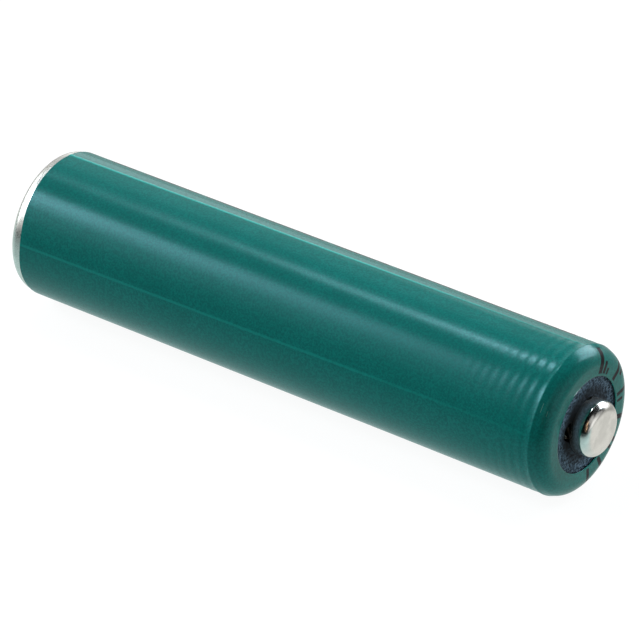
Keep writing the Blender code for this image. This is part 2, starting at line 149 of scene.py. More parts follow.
# Closure behind the vent holes
COVER_CHAMFER = 0.10 * MM
COVER_BORE = 0.50 * MM
SEAL_EDGE = 0.08 * MM
BOSS_RADIUS = 0.62 * MM
BOSS_RISE = 0.22 * MM
WIRE = 0.20 * MM
COIL_RADIUS = 0.95 * MM  # to the wire's centre line
CLOSE_TURNS = 0.75  # at each end of the spring
CLOSE_PITCH = 0.24 * MM
OPEN_TURNS = 2.5

# Camera
CAMERA_AZIMUTH = 36.68
CAMERA_ELEVATION = 31.23
CAMERA_DISTANCE = 323.3 * MM
CAMERA_LENS = 278.8  # mm, on a 36 mm sensor
CAMERA_AIM = (21.4 * MM, 0.666 * MM, -0.135 * MM)  # along the cell, to the right, up

# Print, in degrees and millimetres: plain bars on the far side and across the shoulder
BLOCK_PITCH = 5.2
DASH_PITCH = 0.9
DASH_HALF_WIDTH = 1.3  # degrees
SHOULDER_PRINT_HEIGHT = 42.2  # where the shoulder's bars start
BODY_BARS = (
    # turn from, turn to, height from, height to
    (46.0, 61.5, 3.0, 40.6),
    (20.0, 33.0, 7.0, 33.0),
    (-98.0, -85.0, 7.0, 33.0),
)
DASH_ROWS = (
    # turn, height from, height to
    (-34.0, 6.0, 36.0),
    (-44.0, 6.0, 31.0),
    (-54.0, 6.0, 34.0),
    (-130.0, 15.0, 24.0),
)
SHOULDER_BARS = (
    # turn, width, distance from the axis: from, to
    (67.5, 0.42, 3.42, 4.95),
    (60.0, 0.28, 3.42, 4.25),
    (54.0, 0.24, 3.42, 3.85),
    (35.0, 0.34, 3.40, 4.95),
    (28.0, 0.28, 4.10, 4.95),
    (9.0, 0.30, 3.40, 4.75),
    (1.0, 0.22, 3.40, 4.00),
    (-18.0, 0.34, 3.40, 4.85),
    (-40.0, 0.34, 3.42, 4.85),
    (-48.0, 0.24, 3.42, 4.20),
    (-66.0, 0.32, 3.40, 4.75),
    (-86.0, 0.28, 3.40, 4.90),
)
# Painted highlights: short light ticks across the front of the shoulder, drawn into the film's
# colour.
PAINTED_GLINTS = (
    # turn, height, half length in degrees, half width in millimetres
    (143.0, 42.42, 4.0, 0.018),
    (146.0, 42.80, 2.5, 0.016),
)


# ---------------------------------------------------------------- reading the frame


def corners(node):
    """(height along the axis, distance from the axis) of every corner of a CAD node."""
    points = np.array([v.co for v in frame["nodes"][node].data.vertices])
    return points[:, 0], np.hypot(points[:, 1], points[:, 2])


def reach(node, low=-1.0, high=1.0):
    """Smallest and largest distance from the axis of a CAD node's corners between two heights."""
    height, radius = corners(node)
    inside = radius[(height >= low) & (height <= high)]
    return float(inside.min()), float(inside.max())


# ---------------------------------------------------------------- mesh helpers


def arc(height, radius, bend, start, end, steps):
    """Points of a circular arc in the (height, radius) plane; 0 degrees points along the axis."""
    angles = np.radians(np.linspace(start, end, steps + 1))
    return np.stack((height + bend * np.cos(angles), radius + bend * np.sin(angles)), axis=1)


def rounded(outline, closed, step=7.0):
    """Points through corners (height, radius, fillet), with an arc at each corner with a fillet."""
    points = []
    count = len(outline)
    for i, (height, radius, fillet) in enumerate(outline):
        here = Vector((height, radius))
        at_end = not closed and i in (0, count - 1)
        if fillet <= 0.0 or at_end:
            points.append((height, radius))
            continue
        before = (Vector(outline[i - 1][:2]) - here).normalized()
        after = (Vector(outline[(i + 1) % count][:2]) - here).normalized()
        half = before.angle(after) / 2.0
        middle = here + (before + after).normalized() * (fillet / sin(half))
        first = here + before * (fillet / np.tan(half)) - middle
        last = here + after * (fillet / np.tan(half)) - middle
        start = atan2(first.y, first.x)
        sweep = (atan2(last.y, last.x) - start + pi) % tau - pi
        steps = max(2, int(abs(degrees(sweep)) / step))
        for k in range(steps + 1):
            angle = start + sweep * k / steps
            points.append((middle.x + fillet * cos(angle), middle.y + fillet * sin(angle)))
    return np.array(points)


def along(start, end, spacing):
    """Points on a straight run, without its last one."""
    steps = max(1, int(np.hypot(end[0] - start[0], end[1] - start[1]) / spacing))
    return np.linspace(start, end, steps, endpoint=False)


def even_turns(count):
    """Angles of a ring, in degrees."""
    return np.arange(count) * (360.0 / count)


def turned(name, profile, turns, closed, heights=None, twist=0.0):
    """A solid of revolution about the cell's axis, pushed out by heights[turn, point]."""
    ahead = np.roll(profile, -1, axis=0) - profile
    behind = profile - np.roll(profile, 1, axis=0)
    tangent = ahead + behind
    normal = np.stack((-tangent[:, 1], tangent[:, 0]), axis=1)
    normal /= np.maximum(np.linalg.norm(normal, axis=1, keepdims=True), 1e-12)
    lift = np.zeros((len(turns), len(profile))) if heights is None else heights
    height = profile[:, 0] + lift * normal[:, 0]
    radius = profile[:, 1] + lift * normal[:, 1]
    angle = np.radians(turns[:, None] + twist * profile[None, :, 0])
    points = np.stack((height, radius * np.cos(angle), radius * np.sin(angle)), axis=2)
    columns = len(profile)
    links = columns if closed else columns - 1
    faces = []
    for j in range(len(turns)):
        k = (j + 1) % len(turns)
        for i in range(links):
            n = (i + 1) % columns
            faces.append((j * columns + i, k * columns + i, k * columns + n, j * columns + n))
    mesh = bpy.data.meshes.new(name)
    mesh.from_pydata(points.reshape(-1, 3).tolist(), [], faces)
    return place(name, tidied(mesh))


def tidied(mesh, merge=1e-8):
    """Weld coincident points and turn every face outwards."""
    work = bmesh.new()
    work.from_mesh(mesh)
    bmesh.ops.remove_doubles(work, verts=work.verts, dist=merge)
    bmesh.ops.recalc_face_normals(work, faces=work.faces)
    work.to_mesh(mesh)
    work.free()
    return mesh


def smooth(mesh, angle=32.0):
    """Round shading, with sharp edges kept sharp."""
    mesh.shade_smooth()
    mesh.set_sharp_from_angle(angle=radians(angle))


def place(name, mesh):
    """A mesh as an object in the scene."""
    smooth(mesh)
    piece = bpy.data.objects.new(name, mesh)
    bpy.context.scene.collection.objects.link(piece)
    return piece


def baked(piece):
    """Replace a piece's mesh by its evaluated one, and drop the modifiers."""
    depsgraph = bpy.context.evaluated_depsgraph_get()
    mesh = bpy.data.meshes.new_from_object(piece.evaluated_get(depsgraph))
    piece.modifiers.clear()
    piece.data = mesh
    smooth(mesh)
    return piece


def waves(turns, heights, pitch, seed, count=7):
    """Smooth unevenness between about -1 and 1 over a round surface, repeatable from its seed."""
    draw = np.random.default_rng(seed)
    total = np.zeros((len(turns), len(heights)))
    for _ in range(count):
        around = draw.integers(1, 7)
        run = draw.uniform(-1.0, 1.0) * tau / pitch
        phase = draw.uniform(0.0, tau)
        total += np.cos(around * np.radians(turns)[:, None] + run * heights[None, :] + phase)
    return total / np.sqrt(count)


# ---------------------------------------------------------------- sleeve


def sleeve_turns():
    """Angles of the sleeve's columns, closer together at its folds."""
    turns = set(even_turns(240).tolist())
    for fold in FOLD_TURNS + PRESS_TURNS:
        turns.update(np.round(fold + np.arange(-3.0, 3.01, 0.25), 3).tolist())
    return np.array(sorted(t % 360.0 for t in turns))


def sleeve_profile():
    """Closed outline of the sleeve, and each point's distance past the start of the shoulder."""
    low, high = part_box("shrink_sleeve")
    radius = high.z - SLEEVE_ROOM
    bore = reach("shrink_sleeve", low.x, low.x + 20.0 * MM)[0]
    wall = radius - bore
    opening = reach("shrink_sleeve", high.x - wall, high.x)[0]
    start = high.x - SHOULDER
    ring = radius - SHOULDER
    ripples = start - FINE_RUN
    lip = SLEEVE_LIP
    outer = [
        arc(low.x + lip, radius - lip, lip, 180.0, 90.0, 4),
        along((low.x + 2.0 * lip, radius), (ripples, radius), COARSE_STEP),
        along((ripples, radius), (start, radius), FINE_STEP),
        arc(start, ring, SHOULDER, 90.0, 0.0, 44),
        along((high.x, ring - 0.04 * MM), (high.x, opening + lip), 0.06 * MM),
    ]
    outer = np.concatenate(outer)
    inner = [
        arc(high.x - lip, opening + lip, lip, -20.0, -180.0, 8),
        along((high.x - wall, opening + 2.0 * lip), (high.x - wall, ring), 0.15 * MM),
        arc(start, ring, SHOULDER - wall, 0.0, 90.0, 20),
        along((start - 0.1 * MM, bore), (low.x, bore), 2.0 * MM),
        np.array([(low.x, bore)]),
    ]
    inner = np.concatenate(inner)
    profile = np.concatenate((outer, inner))
    past = profile[:, 0] - start
    bent = past > 0.0
    past[bent] = np.arctan2(past[bent], profile[bent, 1] - ring) * SHOULDER
    return profile, past, len(outer)


def gap_to(turns, fold):
    """Signed angle from a fold, in degrees."""
    return (turns - fold + 180.0) % 360.0 - 180.0


def sleeve_relief(turns, past, outer):
    """How far each outer point of the sleeve stands proud: folds, ripples, crest, slow swells."""
    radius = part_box("shrink_sleeve")[1].z
    lift = np.zeros((len(turns), len(past)))
    fade = np.clip(-past / (0.6 * SHOULDER), 0.0, 1.0)
    folds = [(turn, FOLD_HEIGHT, FOLD_WIDTH) for turn in FOLD_TURNS]
    folds += [(turn, PRESS_HEIGHT, PRESS_WIDTH) for turn in PRESS_TURNS]
    for turn, height, width in folds:
        away = np.radians(gap_to(turns, turn)) * radius / width
        lift += (height * np.exp(-away**2))[:, None] * fade[None, :]
    drift = waves(turns, past, 30.0 * MM, seed=3)
    strength = 1.0 + 0.45 * waves(turns, past, 9.0 * MM, seed=5)
    envelope = np.where(past < 0.0, np.exp(past / RIPPLE_REACH), np.exp(-past / (0.15 * MM)))
    phase = tau * past[None, :] / RIPPLE_PITCH + 0.8 * drift
    lift += RIPPLE_HEIGHT * strength * envelope[None, :] * np.cos(phase)
    crest = np.exp(-(((past - CREST_PLACE) / CREST_WIDTH) ** 2))
    lift += CREST_HEIGHT * crest[None, :] * (1.0 + 0.3 * drift)
    dip = np.exp(-(((past - DIP_PLACE) / DIP_WIDTH) ** 2))
    lift -= DIP_DEPTH * dip[None, :]
    lift += SWELL_HEIGHT * waves(turns, past, 11.0 * MM, seed=8)
    lift[:, outer:] = 0.0
    return lift


def build_sleeve():
    """The shrink sleeve: folds of the flat tube, ripples at the shoulder, rolled cut edges."""
    profile, past, outer = sleeve_profile()
    turns = sleeve_turns()
    lift = sleeve_relief(turns, past, outer)
    piece = turned("printed_sleeve", profile, turns, True, lift, SLEEVE_TWIST)
    start = profile[:, 0].min()
    for vertex in piece.data.vertices:
        away = gap_to(degrees(atan2(vertex.co.z, vertex.co.y)), EDGE_BITE_TURN) / EDGE_BITE_WIDTH
        near_edge = max(0.0, 1.0 - (vertex.co.x - start) / (8.0 * EDGE_BITE))
        vertex.co.x += EDGE_BITE * np.exp(-(away**2)) * near_edge
    finish_piece(piece, "cell", "teal_pvc", "shrink_sleeve")


# ---------------------------------------------------------------- washer, cap and can


def build_washer():
    """The fibre washer round the button: a rough top, a slight lean and a torn edge at one vent."""
    low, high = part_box("fibre_washer")
    rim = reach("fibre_washer")[1]
    base = low.x + WASHER_SPARE
    top = high.x - WASHER_SPARE
    edge = WASHER_EDGE
    outline = [
        (base, WASHER_BORE, edge),
        (base, rim, edge),
        (top, rim, edge),
        (top, WASHER_BORE, edge),
    ]
    points = rounded(outline, closed=True, step=20.0)
    rows = []
    for i, point in enumerate(points):
        rows.append(along(point, points[(i + 1) % len(points)], FINE_STEP))
    profile = np.concatenate(rows)
    turns = even_turns(300)
    rough = np.random.default_rng(11).normal(0.0, WASHER_ROUGHNESS, (len(turns), len(profile)))
    rough[:, profile[:, 0] < top - edge] = 0.0
    piece = turned("paper_washer", profile, turns, True, rough)
    slope = np.tan(radians(WASHER_LEAN))
    for vertex in piece.data.vertices:
        turn = degrees(atan2(vertex.co.z, vertex.co.y))
        distance = np.hypot(vertex.co.y, vertex.co.z)
        torn = np.exp(-((gap_to(turn, WASHER_NOTCH_TURN) / WASHER_NOTCH_WIDTH) ** 4))
        near_bore = np.clip(1.0 - (distance - WASHER_BORE) / (3.0 * WASHER_NOTCH), 0.0, 1.0)
        scale = 1.0 + WASHER_NOTCH * torn * near_bore / distance
        vertex.co.y *= scale
        vertex.co.z *= scale
        outward = distance * cos(radians(gap_to(turn, WASHER_LEAN_TURN)))
        dish = WASHER_DISH * np.exp(-(distance - WASHER_BORE) / WASHER_DISH_REACH)
        vertex.co.x += dish * (1.0 - torn) - outward * slope
    finish_piece(piece, "cell", "navy_fibre", "fibre_washer")


def build_cap():
    """The pressed positive cap: flat-topped button, fillet, flange and four vent holes."""
    low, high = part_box("positive_cap")
    flange = high.z
    washer_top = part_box("fibre_washer")[1].x
    button = reach("positive_cap", washer_top + 0.2 * MM, high.x)[1]
    face = low.x + CAP_WALL
    vent_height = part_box("shrink_sleeve")[1].x + VENT_TOP - VENT_RADIUS
    outline = [
        (high.x, 0.0, 0.0),
        (high.x, button, BUTTON_CORNER),
        (face, button, CAP_FILLET),
        (face, flange, 0.06 * MM),
        (low.x, flange, 0.06 * MM),
        (low.x, button - CAP_WALL, CAP_FILLET + CAP_WALL),
        (high.x - CAP_WALL, button - CAP_WALL, BUTTON_CORNER - CAP_WALL),
        (high.x - CAP_WALL, 0.0, 0.0),
    ]
    piece = turned("button_cap", rounded(outline, closed=False, step=5.0), even_turns(256), False)
    for k in range(4):
        cutter = vent_cutter(button, vent_height, VENT_TURN + 90.0 * k)
        cut = piece.modifiers.new("vent", "BOOLEAN")
        cut.operation = "DIFFERENCE"
        cut.object = cutter
    baked(piece)
    for cutter in [o for o in bpy.data.objects if o.name.startswith("vent_cutter")]:
        bpy.data.objects.remove(cutter)
    finish_piece(piece, "cell", "cap_nickel", "positive_cap")


def vent_cutter(radius, height, turn):
    """A round bar that cuts one vent hole through the button's wall."""
    bpy.ops.mesh.primitive_cylinder_add(vertices=64, radius=VENT_RADIUS, depth=1.6 * MM)
    cutter = bpy.context.object
    cutter.name = "vent_cutter"
    outward = Vector((0.0, cos(radians(turn)), sin(radians(turn))))
    cutter.rotation_mode = "QUATERNION"
    cutter.rotation_quaternion = outward.to_track_quat("Z", "X")
    cutter.location = outward * radius + Vector((height, 0.0, 0.0))
    cutter.hide_render = True
    return cutter


def build_can():
    """The deep-drawn steel can: flat bottom, bead groove under the closure, crimped mouth."""
    low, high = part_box("cell_can")
    radius = high.z
    wall = CAN_WALL
    bore = radius - wall
    mouth = reach("cell_can", high.x - wall, high.x)[0]
    root = radius - GROOVE_DEPTH
    under = GROOVE_HEIGHT - GROOVE_HALF
    over = GROOVE_HEIGHT + GROOVE_HALF
    slope = 0.24 * MM
    soft = 0.12 * MM
    outline = [
        (low.x, 0.0, 0.0),
        (low.x, radius, CAN_CORNER),
        (under, radius, soft),
        (under + slope, root, soft),
        (over - slope, root, soft),
        (over, radius, soft),
        (high.x, radius, CRIMP_CORNER),
        (high.x, mouth, 0.10 * MM),
        (high.x - wall, mouth, 0.10 * MM),
        (high.x - wall, bore, CRIMP_CORNER - wall),
        (over + slope, bore, soft),
        (over, root - wall, soft),
        (under, root - wall, soft),
        (under - slope, bore, soft),
        (low.x + CAN_FLOOR, bore, 0.40 * MM),
        (low.x + CAN_FLOOR, 0.0, 0.0),
    ]
    piece = turned("steel_can", rounded(outline, closed=False), even_turns(256), False)
    finish_piece(piece, "cell", "can_nickel", "cell_can")


# ---------------------------------------------------------------- closure


def build_plain(name, node, body, material, outline):
    """A turned piece from an outline of (height, radius, fillet) with both ends on the axis."""
    piece = turned(name, rounded(outline, closed=False), even_turns(128), False)
    finish_piece(piece, body, material, node)


def build_cover():
    """The plate that closes the can, with its vent hole."""
    low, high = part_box("sealing_cover")
    outline = [
        (high.x, COVER_BORE, 0.05 * MM),
        (high.x, high.z, COVER_CHAMFER),
        (low.x, high.z, COVER_CHAMFER),
        (low.x, COVER_BORE, 0.05 * MM),
    ]
    piece = turned("cover_plate", rounded(outline, closed=True), even_turns(128), True)
    finish_piece(piece, "cell", "cover_steel", "sealing_cover")


def build_valve():
    """The rubber disc on the vent hole and the bossed plate above it."""
    low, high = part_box("vent_valve_seal")
    outline = [
        (high.x, 0.0, 0.0),
        (high.x, high.z, SEAL_EDGE),
        (low.x, high.z, SEAL_EDGE),
        (low.x, 0.0, 0.0),
    ]
    build_plain("rubber_disc", "vent_valve_seal", "vent_valve", "seal_rubber", outline)
    low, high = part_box("vent_valve_plate")
    plate = high.x - BOSS_RISE
    edge = 0.05 * MM
    outline = [
        (high.x, 0.0, 0.0),
        (high.x, BOSS_RADIUS, 0.08 * MM),
        (plate, BOSS_RADIUS, edge),
        (plate, high.z, edge),
        (low.x, high.z, edge),
        (low.x, 0.0, 0.0),
    ]
    build_plain("bossed_plate", "vent_valve_plate", "vent_valve", "valve_steel", outline)


def coil_path():
    """Centre line of the vent spring, with close turns at both ends."""
    low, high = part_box("vent_spring")
    base = low.x + WIRE / 2.0
    room = high.x - low.x - WIRE
    pitch = (room - 2.0 * CLOSE_TURNS * CLOSE_PITCH) / OPEN_TURNS
    turns = np.linspace(0.0, 2.0 * CLOSE_TURNS + OPEN_TURNS, 241)
    opened = np.clip(turns - CLOSE_TURNS, 0.0, OPEN_TURNS)
    height = base + opened * pitch + (turns - opened) * CLOSE_PITCH
    angle = tau * turns
    return np.stack((height, COIL_RADIUS * np.sin(angle), -COIL_RADIUS * np.cos(angle)), axis=1)


def build_spring():
    """The coil spring that holds the valve shut."""
    path = coil_path()
    ahead = np.gradient(path, axis=0)
    ahead /= np.linalg.norm(ahead, axis=1, keepdims=True)
    outward = path * (0.0, 1.0, 1.0) / COIL_RADIUS
    across = np.cross(ahead, outward)
    across /= np.linalg.norm(across, axis=1, keepdims=True)
    outward = np.cross(across, ahead)
    ring = np.arange(16) * tau / 16
    points = []
    for centre, side, out in zip(path, across, outward):
        for angle in ring:
            points.append(tuple(centre + (side * cos(angle) + out * sin(angle)) * WIRE / 2.0))
    count = len(ring)
    faces = [tuple(range(count)), tuple(range(len(points) - count, len(points)))]
    for j in range(len(path) - 1):
        for i in range(count):
            k = (i + 1) % count
            faces.append((j * count + i, j * count + k, (j + 1) * count + k, (j + 1) * count + i))
    mesh = bpy.data.meshes.new("valve_coil")
    mesh.from_pydata(points, [], faces)
    piece = place("valve_coil", tidied(mesh))
    finish_piece(piece, "cell", "spring_steel", "vent_spring")
    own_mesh(piece)


# ---------------------------------------------------------------- materials


class Graph:
    """A material's node tree, with short calls for the nodes that the looks below use."""

    def __init__(self, name):
        self.material = bpy.data.materials.new(name)
        self.material.use_nodes = True
        self.tree = self.material.node_tree
        self.shader = self.tree.nodes["Principled BSDF"]
        self.place = self.add("ShaderNodeTexCoord").outputs["Object"]
        self.mm = self.vector("SCALE", self.place, scale=1.0 / MM)

    def add(self, kind, **settings):
        """A new node with some of its settings."""
        node = self.tree.nodes.new(kind)
        for key, value in settings.items():
            setattr(node, key, value)
        return node

    def feed(self, socket, value):
        """Link an output to a socket, or set the socket's value."""
        if isinstance(value, bpy.types.NodeSocket):
            self.tree.links.new(value, socket)
        else:
            socket.default_value = value

    def vector(self, operation, a, b=None, scale=None):
        """Result of a vector operation; a length or a dot product is a plain number."""
        node = self.add("ShaderNodeVectorMath", operation=operation)
        self.feed(node.inputs[0], a)
        if b is not None:
            self.feed(node.inputs[1], b)
        if scale is not None:
            self.feed(node.inputs["Scale"], scale)
        return node.outputs["Value" if operation in ("LENGTH", "DOT_PRODUCT") else "Vector"]

    def math(self, operation, a, b=0.0, c=0.0):
        """Result of an operation on plain numbers."""
        node = self.add("ShaderNodeMath", operation=operation)
        for socket, value in zip(node.inputs, (a, b, c)):
            self.feed(socket, value)
        return node.outputs[0]

    def split(self, vector):
        """The x, y and z of a vector."""
        node = self.add("ShaderNodeSeparateXYZ")
        self.feed(node.inputs[0], vector)
        return node.outputs

    def join(self, x, y, z):
        """A vector of x, y and z."""
        node = self.add("ShaderNodeCombineXYZ")
        for socket, value in zip(node.inputs, (x, y, z)):
            self.feed(socket, value)
        return node.outputs[0]

    def step(self, value, low, high, to_low=0.0, to_high=1.0):
        """Smooth step of value from low to high."""
        node = self.add("ShaderNodeMapRange", interpolation_type="SMOOTHSTEP")
        for socket, item in zip(node.inputs, (value, low, high, to_low, to_high)):
            self.feed(socket, item)
        return node.outputs[0]

    def noise(self, vector, scale, detail=2.0, roughness=0.5):
        """Smooth random value near 0.5, with scale features per unit of the vector."""
        node = self.add("ShaderNodeTexNoise")
        self.feed(node.inputs["Vector"], vector)
        self.feed(node.inputs["Scale"], scale)
        self.feed(node.inputs["Detail"], detail)
        self.feed(node.inputs["Roughness"], roughness)
        return node.outputs["Fac"]

    def mix(self, factor, a, b):
        """Colour a at factor 0, colour b at factor 1."""
        node = self.add("ShaderNodeMix", data_type="RGBA")
        colours = [s for s in node.inputs if s.type == "RGBA"]
        self.feed(node.inputs[0], factor)
        self.feed(colours[0], a)
        self.feed(colours[1], b)
        return next(s for s in node.outputs if s.type == "RGBA")

    def bump(self, height, distance, strength=1.0):
        """A normal bent by a relief of the given depth."""
        node = self.add("ShaderNodeBump")
        self.feed(node.inputs["Height"], height)
        self.feed(node.inputs["Distance"], distance)
        self.feed(node.inputs["Strength"], strength)
        return node.outputs["Normal"]

    def wrapped(self):
        """(height in mm, turn in degrees, distance from the axis in mm) of the shaded point."""
        x, y, z = self.split(self.mm)
        turn = self.math("DEGREES", self.math("ARCTAN2", z, y))
        distance = self.vector("LENGTH", self.join(0.0, y, z))
        return x, turn, distance

    def near_turn(self, turn, centre):
        """Unsigned angle between a turn and a centre, in degrees."""
        away = self.math("WRAP", self.math("SUBTRACT", turn, centre), 180.0, -180.0)
        return self.math("ABSOLUTE", away)

    def finish(self, colour, roughness, metallic=0.0, normal=None, **extra):
        """Feed the shader and return the material."""
        values = {"Base Color": colour, "Roughness": roughness, "Metallic": metallic}
        values.update(extra)
        for name, value in values.items():
            self.feed(self.shader.inputs[name], value)
        if normal is not None:
            self.feed(self.shader.inputs["Normal"], normal)
        return self.material


def grey(value):
    """An opaque grey."""
    return (value, value, value, 1.0)


def between(g, value, low, high, soft):
    """1 where value lies between low and high, 0 outside, with soft edges."""
    return g.math(
        "MULTIPLY",
        g.step(value, low - soft, low + soft),
        g.step(value, high - soft, high + soft, 1.0, 0.0),
    )


def printed_marks(g, x, turn, distance):
    """Plain bars that stand for the print on the far side of the sleeve and across its shoulder."""
    blocks = between(g, g.math("MODULO", x, BLOCK_PITCH), 0.6, 5.1, 0.05)
    dashes = between(g, g.math("MODULO", x, DASH_PITCH), 0.2, 0.65, 0.06)
    on_shoulder = g.step(x, SHOULDER_PRINT_HEIGHT - 0.05, SHOULDER_PRINT_HEIGHT + 0.05)
    marks = []
    for low, high, start, end in BODY_BARS:
        bar = g.math("MULTIPLY", between(g, turn, low, high, 0.4), between(g, x, start, end, 0.05))
        marks.append(g.math("MULTIPLY", bar, blocks))
    for centre, start, end in DASH_ROWS:
        row = between(g, turn, centre - DASH_HALF_WIDTH, centre + DASH_HALF_WIDTH, 0.4)
        row = g.math("MULTIPLY", row, between(g, x, start, end, 0.05))
        marks.append(g.math("MULTIPLY", row, dashes))
    for centre, width, low, high in SHOULDER_BARS:
        away = g.math("RADIANS", g.math("SUBTRACT", turn, centre))
        across = g.math("MULTIPLY", away, distance)
        bar = between(g, across, -width / 2.0, width / 2.0, 0.035)
        bar = g.math("MULTIPLY", bar, between(g, distance, low, high, 0.05))
        marks.append(g.math("MULTIPLY", bar, on_shoulder))
    total = 0.0
    for mark in marks:
        total = g.math("MAXIMUM", total, mark)
    worn = g.step(g.noise(g.mm, 6.0, 3.0), 0.30, 0.42, 0.75, 1.0)
    return g.math("MULTIPLY", total, worn)


def teal_pvc():
    """Satin shrink film: fine grain, slow tone changes, painted highlights along the folds, print
    and painted highlight ticks on the shoulder.
    """
    g = Graph("teal_pvc")
    x, turn, distance = g.wrapped()
    tone = g.noise(g.mm, 0.35, 3.0)
    grain = g.noise(g.mm, 7.0, 2.0, 0.7)
    colour = g.mix(g.step(tone, 0.3, 0.7), (0.0056, 0.164, 0.141, 1.0), (0.0074, 0.180, 0.157, 1.0))
    colour = g.mix(g.step(grain, 0.36, 0.64, 0.0, 0.80), colour, (0.0045, 0.110, 0.095, 1.0))
    flat_turn = g.math("SUBTRACT", turn, g.math("MULTIPLY", x, SLEEVE_TWIST * MM))
    fold_highlight_fade = g.step(x, 24.0, 41.0, 1.0, 0.30)
    fold_highlight_fade = g.math("MULTIPLY", fold_highlight_fade, g.step(x, 41.9, 42.3, 1.0, 0.0))
    # Painted highlight: the folds are drawn as lighter lines, fading towards the button end, for
    # the light that the fold ridges catch.
    for folds, width, amount in ((FOLD_TURNS, 1.8, 0.70), (PRESS_TURNS, 1.4, 0.24)):
        for fold in folds:
            line = g.step(g.near_turn(flat_turn, fold), 0.4 * width, width, amount, 0.0)
            colour = g.mix(g.math("MULTIPLY", line, fold_highlight_fade), colour, (0.020, 0.42, 0.355, 1.0))
    print_here = printed_marks(g, x, turn, distance)
    colour = g.mix(print_here, colour, (0.011, 0.006, 0.009, 1.0))
    # Painted highlights: short light ticks on the shoulder.
    for centre, height, length, width in PAINTED_GLINTS:
        beside = g.math("ABSOLUTE", g.math("SUBTRACT", x, height))
        line = g.math(
            "MULTIPLY",
            g.step(beside, 0.4 * width, width, 0.5, 0.0),
            g.step(g.near_turn(turn, centre), 0.8 * length, length, 1.0, 0.0),
        )
        colour = g.mix(line, colour, (0.30, 0.50, 0.44, 1.0))
    roughness = g.step(grain, 0.3, 0.7, 0.19, 0.25)
    height = g.math("ADD", g.noise(g.mm, 5.0, 2.0), g.math("MULTIPLY", grain, 0.35))
    bump = g.bump(height, 0.0014 * MM)
    gloss = {
        "Specular IOR Level": g.step(print_here, 0.0, 1.0, 0.28, 0.12),
        "Specular Tint": (0.50, 1.0, 1.12, 1.0),
    }
    return g.finish(colour, roughness, normal=bump, **gloss)


def navy_fibre():
    """Pressed fibre paper: dark navy, mottled, with pale fibres and painted shade beside the
    button.
    """
    g = Graph("navy_fibre")
    mottle = g.noise(g.mm, 4.0, 5.0, 0.65)
    colour = g.mix(g.step(mottle, 0.3, 0.7), (0.003, 0.007, 0.012, 1.0), (0.019, 0.037, 0.057, 1.0))
    height = mottle
    for stretch in ((1.0, 9.0, 3.0), (1.0, 3.0, 9.0), (1.0, 6.0, 6.0)):
        strands = g.noise(g.vector("MULTIPLY", g.mm, stretch), 1.0, 2.0, 0.6)
        colour = g.mix(g.step(strands, 0.53, 0.63, 0.0, 0.95), colour, (0.14, 0.22, 0.30, 1.0))
        height = g.math("ADD", height, g.math("MULTIPLY", strands, 0.5))
    x, turn, distance = g.wrapped()
    # Painted shade: the washer is darkened near its bore to the lower left of the button, where the
    # button's shadow falls.
    button_shade = g.math(
        "MULTIPLY",
        g.step(distance, 2.2, 3.0, 1.0, 0.0),
        g.step(g.near_turn(turn, WASHER_NOTCH_TURN - 8.0), 25.0, 60.0, 0.97, 0.8),
    )
    colour = g.mix(button_shade, colour, (0.003, 0.003, 0.004, 1.0))
    bump = g.bump(height, 0.03 * MM, 0.8)
    return g.finish(colour, 0.85, normal=bump, **{"Specular IOR Level": 0.2})


def nickel(name, colour, roughness, spread, brushed):
    """Bright nickel plate on steel, with drawing marks round the axis and small scratches."""
    g = Graph(name)
    x, _, distance = g.wrapped()
    rings = g.noise(g.join(x, distance, 0.0), 30.0, 2.0)
    pits = g.noise(g.mm, 12.0, 3.0)
    stain = g.noise(g.mm, 1.2, 2.0)
    darker = tuple(c * 0.86 for c in colour[:3]) + (1.0,)
    tint = g.mix(g.step(stain, 0.35, 0.65), colour, darker)
    rough = g.step(pits, 0.3, 0.7, roughness - spread, roughness + spread)
    height = g.math("ADD", g.math("MULTIPLY", rings, brushed), g.math("MULTIPLY", pits, 0.5))
    return g.finish(tint, rough, 1.0, g.bump(height, 0.0015 * MM, 0.6))


def plain_metal(name, colour, roughness):
    """Rolled or drawn metal with a fine streaky grain."""
    g = Graph(name)
    grain = g.noise(g.vector("MULTIPLY", g.mm, (1.0, 6.0, 6.0)), 4.0, 3.0)
    darker = tuple(c * 0.8 for c in colour[:3]) + (1.0,)
    tint = g.mix(g.step(grain, 0.3, 0.7), colour, darker)
    rough = g.step(grain, 0.3, 0.7, roughness, roughness + 0.1)
    return g.finish(tint, rough, 1.0, g.bump(grain, 0.004 * MM, 0.5))


def plain_solid(name, colour, roughness, scale, depth):
    """Rubber, plastic, felt or pressed powder: a grain of the given scale per mm, and its depth."""
    g = Graph(name)
    grain = g.noise(g.mm, scale, 4.0, 0.6)
    darker = tuple(c * 0.7 for c in colour[:3]) + (1.0,)
    tint = g.mix(g.step(grain, 0.3, 0.7), darker, colour)
    rough = g.step(grain, 0.3, 0.7, roughness - 0.05, roughness + 0.05)
    return g.finish(tint, rough, 0.0, g.bump(grain, depth, 0.7))


METALS = (
    # slot, colour, roughness
    ("spring_steel", (0.55, 0.54, 0.52, 1.0), 0.25),
    ("valve_steel", (0.62, 0.61, 0.59, 1.0), 0.28),
    ("cover_steel", (0.66, 0.65, 0.62, 1.0), 0.25),
    ("nickel_strip", (0.70, 0.67, 0.60, 1.0), 0.30),
)
SOLIDS = (
    # slot, colour, roughness, grain scale per mm, grain depth
    ("seal_rubber", (0.02, 0.02, 0.02, 1.0), 0.7, 6.0, 0.004 * MM),
    ("nylon_black", (0.03, 0.03, 0.035, 1.0), 0.45, 4.0, 0.003 * MM),
    ("insulator_white", (0.75, 0.74, 0.70, 1.0), 0.6, 5.0, 0.005 * MM),
    ("nickel_hydroxide", (0.05, 0.07, 0.05, 1.0), 0.8, 8.0, 0.02 * MM),
    ("separator_felt", (0.72, 0.72, 0.68, 1.0), 0.85, 14.0, 0.03 * MM),
    ("hydride_alloy", (0.07, 0.07, 0.08, 1.0), 0.6, 10.0, 0.02 * MM),
)


